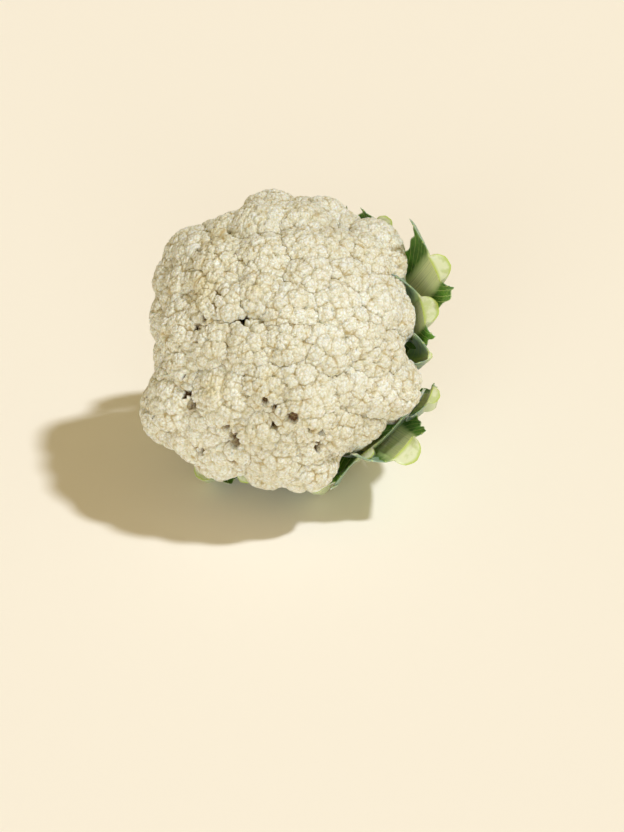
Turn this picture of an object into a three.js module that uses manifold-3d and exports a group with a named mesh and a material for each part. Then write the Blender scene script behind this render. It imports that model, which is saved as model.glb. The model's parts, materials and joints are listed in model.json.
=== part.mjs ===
// A trimmed cauliflower head as it lies on a table: tipped back on the bases of its outer leaves,
// with the curd turned up and towards the viewer. Millimetres, +Z up, front towards -Y,
// origin on the table under the middle of the head.
//
// The head is drawn in a frame of its own: +z runs from the cut stem to the crown, +x is to the
// right and +y is upwards, as the curd is seen from in front. Azimuths turn clockwise from +y in
// that view, polar angles are taken from the crown, and radii from the stem-to-crown axis.
import * as THREE from "three";
import { mergeVertices } from "three/addons/utils/BufferGeometryUtils.js";
import Module from "manifold-3d";

const wasm = await Module();
wasm.setup();

// How the head lies.
const crownElevation = 43; // degrees that the stem-to-crown axis rises above the table
const crownSwing = 12; // degrees that the crown is turned to the left of the front
const restDepth = 103.2; // from the curd's middle down to the table
const gap = 0.45; // clearance between pieces that grow against each other

// The curd's envelope: half width, half height and rise of the crown, and drop of the underside.
const curdHalf = { side: 91, height: 99, crown: 77, under: 58 };
const reliefOrigin = new THREE.Vector3(0, 0, -10); // the relief is measured outwards from here
const curdDetail = 16; // subdivisions of the icosahedron's edges

// A floret is a dome that carries round knobs. Lengths are shares of half the floret's width.
const floretShape = {
  radius: 1.16, // of the dome through its knobs' tops
  lift: 0.1, // of that dome above the envelope
  bare: 1.1, // radius of the dome between the knobs
  knob: 0.51, // radius of a knob
  proud: 0.066, // how far a knob stands out of the dome
  knobs: 11,
  spread: 0.95, // how far round the dome the knobs reach: 1 would be its equator
};
const knobGrowth = [0.8, 1.1]; // knob sizes, from the middle of the dome to its edge
const knobVariety = [0.9, 1.1];
const goldenAngle = Math.PI * (3 - Math.sqrt(5));

// The florets, as [polar angle, azimuth, half width, and how far they stand out of the envelope
// where the head isn't quite round].
const florets = [
  // crown
  [11, 340, 13], [12, 60, 15], [15, 125, 14], [14, 205, 15], [17, 288, 11],
  // around the crown
  [27, 347, 17], [27, 40, 14], [33, 70, 14], [31, 108, 14], [30, 140, 12],
  [28, 172, 15], [25, 240, 14], [28, 276, 11],
  // shoulders
  [38, 307, 21], [37, 20, 15], [49, 36, 15], [43, 54, 13], [46, 88, 15],
  [43, 145, 21, 2], [48, 123, 9], [40, 203, 22], [46, 262, 19], [49, 178, 17], [48, 240, 14],
  // sides
  [55, 345, 18, 2], [57, 8, 17], [62, 46, 17, 2], [60, 69, 18], [57, 99, 12], [67, 94, 12, 1],
  [57, 118, 13], [69, 112, 13, 3], [62, 136, 16], [65, 153, 13], [54, 161, 12],
  [68, 170, 18, 3], [62, 188, 14], [74, 200, 16, 4], [59, 211, 17, 2], [66, 229, 20, 8],
  [77, 216, 15, 7], [57, 286, 15], [64, 305, 15, 2], [61, 325, 13],
  // rim
  [80, 328, 12, -4], [77, 346, 15, 4], [79, 2, 15, -1], [78, 14, 14, 3], [79, 26, 12, 0],
  [80, 42, 15, 10], [82, 50, 11, 6], [80, 63, 13, -3], [80, 74, 13, 0], [80, 86, 11, -7],
  [84, 105, 15, 9], [83, 124, 14, -1], [83, 143, 13, -8], [84, 158, 15, 6], [87, 177, 14, 0],
  [87, 203, 13, 5], [83, 231, 17, 13], [74, 254, 16, -5], [76, 275, 17, -1], [80, 291, 13, 6],
  [82, 304, 15, 9], [82, 317, 12, 1],
  // under the rim
  [103, 12, 12], [103, 36, 12, 4], [103, 51, 11, 3], [103, 75, 11, -2], [103, 91, 10, -9],
  [103, 108, 12, 7], [103, 132, 11, -5], [103, 153, 11, -3], [103, 177, 12], [103, 204, 12, 2],
  [103, 228, 12, 6], [103, 251, 11, -6], [103, 274, 11, -2], [103, 300, 12, 5], [103, 324, 12],
  [103, 348, 12, 2],
];

// The curd's core under the florets: [degrees from the crown, distance from the relief's origin].
const coreProfile = [
  [0, 62], [50, 68], [80, 76], [100, 76], [120, 68], [140, 62], [155, 62], [180, 67],
];
// The florets' stalks show as ribs underneath, between the polar angles where they rise and fade.
const branchRibs = { count: 10, depth: 2.5, rise: [95, 115], fade: [145, 165] };

// The stem, from the cut butt to where the curd branches off it.
const stem = {
  butt: -97, chamfer: 2, waist: -83, top: -66.3, // heights
  buttRadius: 22, waistRadius: 20.5, topRadius: 24,
  sides: 28,
};

// Leaves. Each is a thick midrib with a blade along both its edges, cut off at about the height of
// the curd's widest part. An outer leaf is seated near the butt, an inner one above it.
//   at: azimuth; bend: radius of the midrib's back where it turns up beside the curd
//   reach: radius of its back at the curd's widest part; lean: how much further in it is 48 mm higher
//   width: of the midrib at mid-length; cut: height of the cut end
//   left, right: the blades on the side of smaller and of larger azimuths, each with its width, how
//   far it runs on past the cut or stops short of it, how many degrees it rolls outwards over its
//   width, how far its top leans outwards, and by what share it narrows towards the top
const leaves = [
  {
    at: 58, outer: true, bend: 96, reach: 124, lean: 2, width: 22, cut: 3,
    left: [19, 41, -4, 1, 0], right: [12, 8, 60, 2, 0],
  },
  {
    at: 71, outer: false, bend: 85, reach: 108, lean: 14, width: 22, cut: 0,
    left: [30, 30, -5, -10, 0.3], right: [11, -6, 55, 2, 0],
  },
  {
    at: 89, outer: false, bend: 84, reach: 102, lean: 16, width: 5, cut: 0,
    left: [14, 15, -30, -9, 0.2], right: [13, 12, -40, -8, 0.2],
  },
  {
    at: 103, outer: true, bend: 103, reach: 113, lean: 12, width: 13, cut: -2,
    left: [5, -12, 20, 0, 0], right: [14, -4, -30, -3, 0],
  },
  {
    at: 124, outer: true, bend: 97, reach: 124, lean: 10, width: 24, cut: -8,
    left: [15, 10, 35, 2, 0.4], right: [25, 4, -45, -12, 0.1],
  },
  {
    at: 135, outer: false, bend: 92, reach: 99, lean: 14, width: 11, cut: -5,
    left: [48, 6, 6, 5, 0], right: [27, -5, 30, 2, 0],
  },
  {
    at: 160, outer: true, bend: 97, reach: 103, lean: 12, width: 20, cut: -23,
    left: [9, 4, 10, 0, 0], right: [14, 8, 15, 0, 0.4],
  },
  {
    at: 190, outer: false, bend: 87, reach: 102, lean: 12, width: 13, cut: -22,
    left: [17, 3, 15, 0, 0], right: [12, 5, 60, 2, 0],
  },
  {
    at: 208, outer: true, bend: 104, reach: 107, lean: 12, width: 18, cut: -32,
    left: [12, 6, 20, 0, 0.4], right: [9, 2, -15, -2, 0],
  },
  {
    at: 239, outer: false, bend: 85, reach: 97, lean: 12, width: 20, cut: -38,
    left: [12, 7, 20, 0, 0.4], right: [12, 4, -10, 0, 0],
  },
  {
    at: 262, outer: true, bend: 91, reach: 99, lean: 12, width: 24, cut: -36,
    left: [13, 3, 30, 2, 0], right: [14, 9, 15, 1, 0.4],
  },
  {
    at: 290, outer: false, bend: 84, reach: 95, lean: 12, width: 20, cut: -34,
    left: [12, 8, -15, -1, 0.4], right: [12, 3, 35, 1, 0],
  },
  {
    at: 314, outer: true, bend: 95, reach: 107, lean: 12, width: 24, cut: -30,
    left: [13, 5, 45, 2, 0], right: [14, 7, 15, 1, 0.3],
  },
  {
    at: 340, outer: false, bend: 85, reach: 99, lean: 12, width: 20, cut: -24,
    left: [12, 6, 20, 0, 0.3], right: [12, 5, -15, 0, 0],
  },
  {
    at: 8, outer: true, bend: 95, reach: 107, lean: 12, width: 23, cut: -20,
    left: [12, 6, 15, 0, 0.3], right: [15, 23, 10, 6, 0.5],
  },
  {
    at: 33, outer: false, bend: 92, reach: 111, lean: 8, width: 14, cut: 0,
    left: [14, 3, 5, -1, 0], right: [12, 2, -20, -2, 0],
  },
];
const outerSeat = { radius: 50, height: -94.5, bendHeight: -50 };
const innerSeat = { radius: 42, height: -80.5, bendHeight: -40 };
const leafRoot = 14; // radius from which a midrib grows out of the stem
const ribThickness = { share: 0.55, least: 0.6 }; // thickness of a midrib, from its width
const bladeThick = 1.1;
const bladeWave = { depth: 1.8, turns: 9 };
const bladeOpens = [0.3, 0.75]; // share of the leaf's length over which its blades widen
const leafRows = 10;
const leafRise = { share: 0.66, height: -20, widest: 4, upper: 28, top: 52 }; // of a midrib's back
const narrowFrom = 0.72; // share of the leaf's length from which its blades narrow
const leanFrom = 0.5; // and from which their tops lean
const leastWrap = 26; // least radius that a leaf is wrapped round, where it runs in to the stem

const colours = { curd: "#ece6d3", stem: "#dfe3bf", leaf: "#4f6f35" };

const degrees = THREE.MathUtils.degToRad;
const lerp = THREE.MathUtils.lerp;
const smoothstep = THREE.MathUtils.smoothstep;

function randomFrom(seed) {
  let state = seed;
  return () => {
    state = (state * 1664525 + 1013904223) % 4294967296;
    return state / 4294967296;
  };
}

// Value at x of a curve through [x, y] points joined by straight lines.
function valueAt(profile, x) {
  const i = Math.max(1, profile.findIndex((p) => p[0] >= x));
  const [a, b] = [profile[i - 1], profile[i]];
  return lerp(a[1], b[1], (x - a[0]) / (b[0] - a[0]));
}

function solidFrom(geometry) {
  const bare = geometry.clone();
  bare.deleteAttribute("normal");
  bare.deleteAttribute("uv");
  const merged = mergeVertices(bare, 1e-4);
  return new wasm.Manifold(new wasm.Mesh({
    numProp: 3,
    vertProperties: merged.attributes.position.array,
    triVerts: new Uint32Array(merged.index.array),
  }));
}

function geometryFrom(solid) {
  const mesh = solid.getMesh();
  return new THREE.BufferGeometry()
    .setAttribute("position", new THREE.BufferAttribute(new Float32Array(mesh.vertProperties), 3))
    .setIndex(new THREE.BufferAttribute(new Uint32Array(mesh.triVerts), 1));
}

// The biggest body of a solid: cutting can leave loose scraps beside it.
function biggest(solid) {
  return solid.decompose().sort((a, b) => b.volume() - a.volume())[0];
}

// A wide slab whose top lies at a height, for cutting away what is under it.
function slabUnder(height) {
  const [width, depth] = [500, 100];
  return new THREE.BoxGeometry(width, width, depth).translate(0, 0, height - depth / 2);
}

// A point on the curd's envelope and the direction straight out of it.
function envelope(polarDegrees, azimuthDegrees) {
  const [polar, azimuth] = [degrees(polarDegrees), degrees(azimuthDegrees)];
  const axial = polarDegrees > 90 ? curdHalf.under : curdHalf.crown;
  const point = new THREE.Vector3(
    curdHalf.side * Math.sin(polar) * Math.sin(azimuth),
    curdHalf.height * Math.sin(polar) * Math.cos(azimuth),
    axial * Math.cos(polar),
  );
  const normal = new THREE.Vector3(
    point.x / curdHalf.side ** 2, point.y / curdHalf.height ** 2, point.z / axial ** 2,
  ).normalize();
  return { point, normal };
}

// The spheres that make up a floret: its bare dome, and its knobs on a golden-angle spiral.
function spheresOf([polar, azimuth, half, stand = 0], random) {
  const shape = floretShape;
  const { point, normal } = envelope(polar, azimuth);
  const centre = point.addScaledVector(normal, stand + half * (shape.lift - shape.radius));
  const upright = new THREE.Quaternion().setFromUnitVectors(new THREE.Vector3(0, 0, 1), normal);
  const spheres = [{ centre, radius: half * shape.bare }];
  for (let i = 0; i < shape.knobs; i++) {
    const share = (i + 0.5) / shape.knobs;
    const lean = Math.acos(1 - shape.spread * share);
    const spin = i * goldenAngle + degrees(azimuth);
    const radius = half * shape.knob * lerp(...knobGrowth, share) * lerp(...knobVariety, random());
    const out = new THREE.Vector3(
      Math.sin(lean) * Math.cos(spin), Math.sin(lean) * Math.sin(spin), Math.cos(lean),
    ).applyQuaternion(upright);
    const distance = half * (shape.radius + shape.proud) - radius;
    spheres.push({ centre: centre.clone().addScaledVector(out, distance), radius });
  }
  return spheres;
}

// How far a ray from the relief's origin runs before it leaves a sphere, or 0 if it misses.
function reachThrough(sphere, direction) {
  const middle = sphere.centre.clone().sub(reliefOrigin);
  const closest = middle.dot(direction);
  const inside = closest ** 2 - middle.lengthSq() + sphere.radius ** 2;
  return inside > 0 ? closest + Math.sqrt(inside) : 0;
}

function coreReach(direction) {
  const polar = THREE.MathUtils.radToDeg(Math.acos(direction.z));
  const azimuth = Math.atan2(direction.x, direction.y);
  const ribbed = smoothstep(polar, ...branchRibs.rise) * (1 - smoothstep(polar, ...branchRibs.fade));
  const rib = branchRibs.depth * Math.cos(branchRibs.count * azimuth);
  return valueAt(coreProfile, polar) + ribbed * rib;
}

// The curd: a ball whose every point moves straight out to the furthest floret or core there.
// grow makes a copy that is larger all round.
function curdSolid(grow = 0) {
  const random = randomFrom(5);
  const spheres = florets.flatMap((floret) => spheresOf(floret, random));
  const ball = new THREE.IcosahedronGeometry(1, curdDetail);
  const position = ball.attributes.position;
  const direction = new THREE.Vector3();
  for (let i = 0; i < position.count; i++) {
    direction.fromBufferAttribute(position, i).normalize();
    const reach = spheres.reduce(
      (furthest, sphere) => Math.max(furthest, reachThrough(sphere, direction)),
      coreReach(direction),
    );
    const surface = direction.multiplyScalar(reach + grow).add(reliefOrigin);
    position.setXYZ(i, surface.x, surface.y, surface.z);
  }
  return solidFrom(ball).subtract(solidFrom(slabUnder(stem.top + gap)));
}

function stemSolid(grow = 0) {
  const profile = [
    [0, stem.butt - grow],
    [stem.buttRadius - stem.chamfer + grow, stem.butt - grow],
    [stem.buttRadius + grow, stem.butt + stem.chamfer],
    [stem.waistRadius + grow, stem.waist],
    [stem.topRadius + grow, stem.top + grow],
    [0, stem.top + grow],
  ].map(([r, z]) => new THREE.Vector2(r, z));
  return solidFrom(new THREE.LatheGeometry(profile, stem.sides).rotateX(Math.PI / 2));
}

// The back of a midrib, as (radius, 0, height), from the stem outwards and up beside the curd.
function backOf({ outer, bend, reach, lean }) {
  const seat = outer ? outerSeat : innerSeat;
  const points = [
    [leafRoot, seat.height],
    [seat.radius, seat.height],
    [bend, seat.bendHeight],
    [lerp(bend, reach, leafRise.share), leafRise.height],
    [reach, leafRise.widest],
    [reach - lean * 0.2, leafRise.upper],
    [reach - lean, leafRise.top],
  ].map(([r, z]) => new THREE.Vector3(r, 0, z));
  return new THREE.CatmullRomCurve3(points, false, "centripetal");
}

// Where along its back, from 0 to 1, a leaf reaches a height.
function shareAtHeight(back, height) {
  let [low, high] = [0.3, 1];
  while (high - low > 1e-6) {
    const middle = (low + high) / 2;
    if (back.getPointAt(middle).z < height) low = middle;
    else high = middle;
  }
  return low;
}

// The columns of a leaf, from one blade's edge to the other's: how far out on its blade each lies,
// and where it lies on the midrib, from -1 to 1.
const leafColumns = [
  [-1, -1], [-0.65, -1], [-0.3, -1], [0, -1], [0, -0.6], [0, 0],
  [0, 0.6], [0, 1], [0.3, 1], [0.65, 1], [1, 1],
];

const sinc = (x) => (x === 0 ? 1 : Math.sin(x) / x);

// One leaf, as a grid of rows along the midrib and columns across it, once on its face and once on
// its back. A blade rolls at an even rate, so at a width w and a turn x it has gone w sinc(x) along
// the head and w x / 2 sinc(x / 2)^2 outwards. grow makes a copy that is larger all round.
function leafSolid(leaf, grow = 0) {
  const back = backOf(leaf);
  const length = back.getLength();
  const end = shareAtHeight(back, leaf.cut) + grow / length;
  const fullThick = leaf.width * ribThickness.share + ribThickness.least;
  const [face, rear] = [[], []];
  for (let row = 0; row < leafRows; row++) {
    const share = row / (leafRows - 1);
    const halfRib = (leaf.width / 2) * lerp(1.12, 0.92, share);
    const thick = fullThick * lerp(0.85, 1, Math.sin(Math.PI * share));
    const open = smoothstep(share, ...bladeOpens);
    for (const [wing, rib] of leafColumns) {
      const [width, past, roll, leanOut, narrows] = wing < 0 ? leaf.left : leaf.right;
      const u = Math.abs(wing);
      const along = Math.min(end * share + ((u * past) / length) * share ** 3, 1);
      const point = back.getPointAt(along);
      const tangent = back.getTangentAt(along);
      const outward = new THREE.Vector3(tangent.z, 0, -tangent.x);
      const pointed = 1 - narrows * smoothstep(share, narrowFrom, 1);
      const blade = (lerp(0.9, width, open) * pointed + grow) * u;
      const turn = degrees(roll) * open * share * u;
      const wave = u * open * bladeWave.depth * Math.sin(bladeWave.turns * share + leaf.at + 2 * wing);
      const inner = wave + leanOut * u * smoothstep(share, leanFrom, 1) - thick
        + ((blade * turn) / 2) * sinc(turn / 2) ** 2;
      const hollow = (thick - bladeThick) * (1 - Math.sqrt(1 - rib ** 2));
      const ribbed = u === 0 ? thick - hollow : bladeThick;
      for (const [points, offset] of [[face, -grow], [rear, ribbed + grow]]) {
        const sideways = rib * halfRib + Math.sign(wing) * (blade * sinc(turn) - Math.sin(turn) * offset);
        const angle = degrees(leaf.at) + sideways / Math.max(point.x, leastWrap);
        const place = point.clone().addScaledVector(outward, inner + Math.cos(turn) * offset);
        points.push(place.x * Math.sin(angle), place.x * Math.cos(angle), place.z);
      }
    }
  }
  return closedGrid(face, rear, leafColumns.length, leafRows);
}

// Joins two grids of points, the face and the rear of a sheet, by a rim into one closed solid.
function closedGrid(face, rear, columns, rows) {
  const index = [];
  const offset = columns * rows;
  const quad = (a, b, c, d) => index.push(a, c, b, a, d, c);
  for (let r = 0; r < rows - 1; r++)
    for (let c = 0; c < columns - 1; c++) {
      const a = r * columns + c;
      quad(a, a + columns, a + columns + 1, a + 1);
      quad(offset + a, offset + a + 1, offset + a + columns + 1, offset + a + columns);
    }
  const rim = [];
  for (let c = 0; c < columns - 1; c++) rim.push(c);
  for (let r = 0; r < rows - 1; r++) rim.push(r * columns + columns - 1);
  for (let c = columns - 1; c > 0; c--) rim.push((rows - 1) * columns + c);
  for (let r = rows - 1; r > 0; r--) rim.push(r * columns);
  rim.forEach((a, i) => {
    const b = rim[(i + 1) % rim.length];
    quad(a, b, offset + b, offset + a);
  });
  const geometry = new THREE.BufferGeometry()
    .setAttribute("position", new THREE.BufferAttribute(new Float32Array([...face, ...rear]), 3))
    .setIndex(index);
  return solidFrom(geometry);
}

// The whole head, leaning back by its own weight and swung to one side.
const lean = new THREE.Group();
lean.rotation.x = degrees(90 - crownElevation);
const head = new THREE.Group();
head.rotation.z = degrees(-crownSwing);
head.add(lean);

// Everything under the table top, in the head's own frame: the low points are pressed flat on it.
const underTable = solidFrom(slabUnder(-restDepth).rotateX(-lean.rotation.x));

function addPiece(name, solid, colour, roughness) {
  const material = new THREE.MeshStandardMaterial({ color: colour, roughness, metalness: 0 });
  const mesh = new THREE.Mesh(geometryFrom(solid), material);
  mesh.name = name;
  lean.add(mesh);
}

addPiece("curd", curdSolid(), colours.curd, 0.75);
addPiece("stem", stemSolid(), colours.stem, 0.5);

// Each leaf gives way to the stem, the curd, the table and the leaves placed before it.
const taken = [stemSolid(gap), curdSolid(gap), underTable];
leaves.forEach((leaf, i) => {
  const solid = taken.reduce((rest, room) => rest.subtract(room), leafSolid(leaf));
  addPiece("leaf_" + String(i + 1).padStart(2, "0"), biggest(solid), colours.leaf, 0.5);
  taken.push(leafSolid(leaf, gap));
});

// The head moves until the table is at height 0 and the origin is under the middle of its box.
head.updateMatrixWorld(true);
const middle = new THREE.Box3().setFromObject(head, true).getCenter(new THREE.Vector3());
head.position.set(-middle.x, -middle.y, restDepth);

export default head;
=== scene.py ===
import json
import math

import bmesh
import bpy
import numpy as np
from mathutils import Matrix, Vector

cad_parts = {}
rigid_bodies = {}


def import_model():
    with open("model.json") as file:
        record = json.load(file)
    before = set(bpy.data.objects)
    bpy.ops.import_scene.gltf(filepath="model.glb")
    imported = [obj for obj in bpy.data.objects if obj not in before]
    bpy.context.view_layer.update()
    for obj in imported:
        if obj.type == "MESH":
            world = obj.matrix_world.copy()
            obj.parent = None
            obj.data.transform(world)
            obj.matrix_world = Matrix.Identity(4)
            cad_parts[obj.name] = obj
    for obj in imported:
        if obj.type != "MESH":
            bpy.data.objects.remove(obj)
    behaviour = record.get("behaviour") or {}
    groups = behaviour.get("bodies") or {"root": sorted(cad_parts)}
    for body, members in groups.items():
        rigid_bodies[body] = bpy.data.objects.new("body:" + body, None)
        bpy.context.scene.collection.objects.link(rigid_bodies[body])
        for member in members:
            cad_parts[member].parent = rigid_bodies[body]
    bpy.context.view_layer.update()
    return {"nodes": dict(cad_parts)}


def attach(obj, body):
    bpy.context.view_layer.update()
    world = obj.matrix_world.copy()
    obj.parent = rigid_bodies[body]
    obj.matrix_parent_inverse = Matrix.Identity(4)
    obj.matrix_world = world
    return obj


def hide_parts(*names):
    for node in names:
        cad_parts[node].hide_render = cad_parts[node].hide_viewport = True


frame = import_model()

head = {
    "crownElevation": 43,      # degrees that the stem-to-crown axis rises above the table
    "crownSwing": 12,          # degrees that the crown is turned to the left
    "butt": -97,               # height of the cut stem's face along the axis
    "side": 91,                # the curd's half width
    "height": 99,              # its half height seen from in front
    "crown": 77,               # how far it rises to the crown
    "under": 58,               # how far it drops underneath
}


def toLinear(hexColour):  # an sRGB hex colour as linear RGBA
    parts = [int(hexColour[i:i + 2], 16) / 255 for i in (1, 3, 5)]
    return [c / 12.92 if c <= 0.04045 else ((c + 0.055) / 1.055) ** 2.4 for c in parts] + [1]


def smoothStep(x, low, high):  # 3t^2 - 2t^3 of x between low and high, on numbers or arrays
    t = np.clip((x - low) / (high - low), 0, 1)
    return t * t * (3 - 2 * t)


def turned(axis, angle):  # the 3x3 turn about x or z by degrees
    return np.array(Matrix.Rotation(math.radians(angle), 3, axis))


def directionsAt(lean, spin):  # unit directions at a lean from +z and a spin about it
    across = np.sin(lean)
    return np.stack(np.broadcast_arrays(
        across * np.cos(spin), across * np.sin(spin), np.cos(lean)), -1)


def aroundAxis(radius, azimuth, height):  # points at a radius, an azimuth from +y and a height
    return np.stack([radius * np.sin(azimuth), radius * np.cos(azimuth), height + 0 * azimuth], -1)


headTurn = turned("Z", -head["crownSwing"]) @ turned("X", 90 - head["crownElevation"])


def headOrigin():
    # The stem node turns evenly round the head's axis, so in the head's own directions the middle
    # of its box gives the axis, and the lowest point along it is the butt.
    mesh = frame["nodes"]["stem"].data
    points = np.empty(len(mesh.vertices) * 3)
    mesh.vertices.foreach_get("co", points)
    points = points.reshape(-1, 3) @ headTurn
    low, high = points.min(0), points.max(0)
    middle = (low + high) / 2
    return headTurn @ np.array([middle[0], middle[1], low[2] - head["butt"] / 1000])


headPlace = headOrigin()
print("head's middle at", [round(float(v) * 1000, 1) for v in headPlace], "mm")


def toRow(points):  # head-frame millimetres to row-frame metres
    return points / 1000 @ headTurn.T + headPlace


def addMesh(name, points, faces):
    # points: n x 3 in head millimetres; faces: a list of index arrays with 3 or 4 columns
    mesh = bpy.data.meshes.new(name)
    mesh.vertices.add(len(points))
    placed = toRow(points)
    placed[:, 2] = np.maximum(placed[:, 2], 0)  # pressed flat where it lies on the table
    mesh.vertices.foreach_set("co", placed.astype(np.float32).ravel())
    loops = np.concatenate([f.ravel() for f in faces])
    sizes = np.concatenate([np.full(len(f), f.shape[1]) for f in faces])
    mesh.loops.add(len(loops))
    mesh.loops.foreach_set("vertex_index", loops.astype(np.int32))
    mesh.polygons.add(len(sizes))
    starts = np.concatenate([[0], np.cumsum(sizes)[:-1]])
    mesh.polygons.foreach_set("loop_start", starts.astype(np.int32))
    mesh.update(calc_edges=True)
    mesh.validate()
    mesh.shade_smooth()
    piece = bpy.data.objects.new(name, mesh)
    bpy.context.collection.objects.link(piece)
    return piece


def addAttribute(piece, name, values):  # one number for each vertex
    layer = piece.data.attributes.new(name, "FLOAT", "POINT")
    layer.data.foreach_set("value", values.astype(np.float32))


def gridFaces(rows, columns):  # quads of a rows x columns grid of vertices
    corner = (np.arange(rows - 1)[:, None] * columns + np.arange(columns - 1)).ravel()
    return np.stack([corner, corner + 1, corner + columns + 1, corner + columns], 1)


# Camera: an 85 mm lens on a 36 mm sensor, at the photograph's height above the table.
photo = {
    "size": [624, 832],        # pixels of the photograph's frame
    "elevation": 33,           # degrees that the camera looks down
    "lens": 85,                # mm
    "sensor": 36,              # mm, on the long side
    "distance": 1315,          # mm from the camera to the head's middle
    "headAt": [282, 342],      # pixel where the head's middle shows
}


def addCamera():
    perPixel = photo["distance"] * photo["sensor"] / photo["lens"] / photo["size"][1]
    down = math.radians(photo["elevation"])
    right = np.array([1, 0, 0])
    forward = np.array([0, math.cos(down), -math.sin(down)])
    up = np.array([0, math.sin(down), math.cos(down)])
    across = (photo["headAt"][0] - photo["size"][0] / 2) * perPixel
    below = (photo["size"][1] / 2 - photo["headAt"][1]) * perPixel
    place = headPlace - (forward * photo["distance"] + right * across + up * below) / 1000
    data = bpy.data.cameras.new("camera")
    data.lens = photo["lens"]
    data.sensor_width = photo["sensor"]
    data.sensor_fit = "AUTO"
    data.clip_start = 0.05
    camera = bpy.data.objects.new("camera", data)
    camera.location = Vector(place)
    camera.rotation_euler = (math.pi / 2 - down, 0, 0)
    bpy.context.collection.objects.link(camera)
    bpy.context.scene.camera = camera


addCamera()
print("camera set")


# The florets, as in the CAD: [polar angle, azimuth, half width, standing out of the envelope].
floretPlaces = [
    # crown
    [11, 340, 13], [12, 60, 15], [15, 125, 14], [14, 205, 15], [17, 288, 11],
    # around the crown
    [27, 347, 17], [27, 40, 14], [33, 70, 14], [31, 108, 14], [30, 140, 12],
    [28, 172, 15], [25, 240, 14], [28, 276, 11],
    # shoulders
    [38, 307, 21], [37, 20, 15], [49, 36, 15], [43, 54, 13], [46, 88, 15],
    [43, 145, 21, 2], [48, 123, 9], [40, 203, 22], [46, 262, 19], [49, 178, 17], [48, 240, 14],
    # sides
    [55, 345, 18, 2], [57, 8, 17], [62, 46, 17, 2], [60, 69, 18], [57, 99, 12], [67, 94, 12, 1],
    [57, 118, 13], [69, 112, 13, 3], [62, 136, 16], [65, 153, 13], [54, 161, 12],
    [68, 170, 18, 3], [62, 188, 14], [74, 200, 16, 4], [59, 211, 17, 2], [66, 229, 20, 8],
    [77, 216, 15, 7], [57, 286, 15], [64, 305, 15, 2], [61, 325, 13],
    # rim
    [80, 328, 12, -4], [77, 346, 15, 4], [79, 2, 15, -1], [78, 14, 14, 3], [79, 26, 12, 0],
    [80, 42, 15, 10], [82, 50, 11, 6], [80, 63, 13, -3], [80, 74, 13, 0], [80, 86, 11, -7],
    [84, 105, 15, 9], [83, 124, 14, -1], [83, 143, 13, -8], [84, 158, 15, 6], [87, 177, 14, 0],
    [87, 203, 13, 5], [83, 231, 17, 13], [74, 254, 16, -5], [76, 275, 17, -1], [80, 291, 13, 6],
    [82, 304, 15, 9], [82, 317, 12, 1],
]
tuckedPlaces = [
    # under the rim
    [103, 12, 12], [103, 36, 12, 4], [103, 51, 11, 3], [103, 75, 11, -2], [103, 91, 10, -9],
    [103, 108, 12, 7], [103, 132, 11, -5], [103, 153, 11, -3], [103, 177, 12], [103, 204, 12, 2],
    [103, 228, 12, 6], [103, 251, 11, -6], [103, 274, 11, -2], [103, 300, 12, 5], [103, 324, 12],
    [103, 348, 12, 2],
]

# Places where the clefts between florets stand open: [polar angle, azimuth, reach of the opening in
# mm, and half the width of the hole there in mm, if there is one].
openClefts = [
    [22, 290, 5, 1.2], [20, 278, 5], [27, 265, 4, 1.8], [31, 258, 4, 1.4], [30, 249, 4, 1.1],
    [31, 242, 4, 1.1], [44, 233, 4, 1.6], [48, 225, 4, 1.9], [49, 219, 4, 1.9], [46, 212, 4, 1.2],
    [48, 195, 5, 2.2], [52, 190, 5, 3], [55, 190, 4, 2.6], [60, 190, 5, 1.2], [66, 190, 5],
    [19, 197, 4, 0.8], [26, 183, 5], [31, 174, 4], [33, 171, 4, 2.3], [36, 166, 4, 1],
    [38, 162, 4, 1.3], [41, 155, 5, 3.1], [44, 167, 4, 1.3], [49, 148, 4, 1.2], [54, 144, 4, 1.8],
    [61, 149, 5, 1.9], [67, 205, 5, 1.8], [10, 256, 5, 1], [40, 8, 5, 1.2], [50, 30, 4],
]
# Yellower patches: [polar angle, azimuth, width in mm].
yellowPatches = [
    [32, 288, 13], [23, 167, 4], [11, 335, 6], [48, 318, 12], [38, 222, 3], [35, 211, 9],
]

curd = {
    "rimFrom": 70,             # polar angle from which the florets' stalks are made too
    "domeRadius": 1.58,        # of a floret's dome, as a share of its half width
    "domeLift": 0.13,          # its top above the envelope, as a share of its half width
    "vertexSpacing": 0.69,     # mm
    "knobVariety": 0.2,        # how much the knobs' sizes differ from floret to floret, as a share
    "pressed": 3.5,            # height over which neighbouring florets run together, mm
    "cleft": [1.2, 0.45],      # depth and half width of the cleft between florets, mm
    "closed": 0.22,            # how far a cleft opens away from the open places, at most
    "openCleft": [0.45, 1.2],  # share of that depth when closed, and what opening it adds
    "corner": 1.5,             # how much deeper it is where three florets meet, mm
    "hole": 6.5,               # depth of a hole in an open cleft, mm
    "holeReach": 1.4,          # how far a hole reaches past its half width, mm
    "holeSpare": 0.6,          # how much less a hole opens in a crease between small knobs, mm
    "buried": [64, 3.2, 5],    # radius of the core and depth in a neighbour past which a dome isn't
                               # made, mm, and how many degrees further it is made all the same
    "near": 4,                 # gap from which two domes don't shape each other, mm
    "noCrease": 9,             # the distance to a crease that stalks are given, mm
    "stalkWidth": [0.45, 0.45],  # of a rim floret's stalk, as a share of its rim, and the share of
                               # its length by which it has narrowed to that
    "stalkRings": [0.12, 0.3, 0.6],  # where it has rings, as shares of its length
    "root": [0.15, -50],       # where the stalks run to: distance from the axis, as a share of the
                               # floret's own, and height
    "pieces": 6,               # the florets are joined into this many objects
    "seed": 11,
}
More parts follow.
